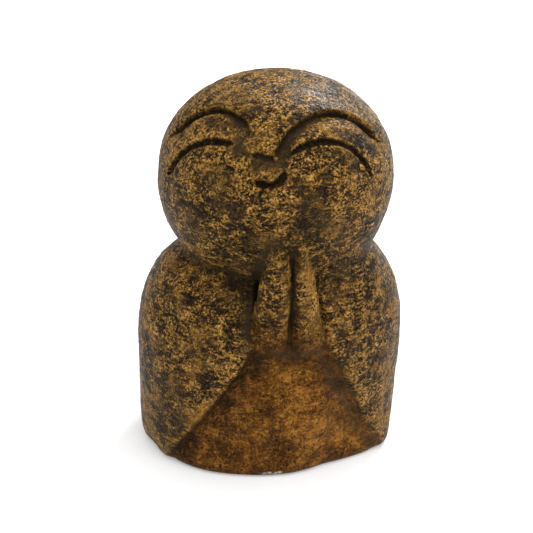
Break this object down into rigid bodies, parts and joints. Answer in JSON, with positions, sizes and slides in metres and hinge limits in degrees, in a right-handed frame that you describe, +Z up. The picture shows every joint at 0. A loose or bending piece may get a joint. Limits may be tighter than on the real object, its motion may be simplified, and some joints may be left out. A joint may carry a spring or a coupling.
{
  "type": "stone jizo statue",
  "caption": "Small cast-stone jizo figure with a large round upturned head, smiling closed eyes, joined hands and a plain cloak; stands on its flat underside.",
  "frame": {"origin": "on the underside, at the middle of the figure's outline seen from above", "axes": "+Z up, -Y towards the front of the figure, +X towards the viewer's right when facing it"},
  "size_m": [0.1394, 0.1172, 0.2],
  "materials": {
    "patinated_stone": "brown-black and ochre patina over rough cast stone, semi-gloss wax"
  },
  "bodies": {
    "root": {"jizo_statue": "patinated_stone"}
  },
  "joints": []
}
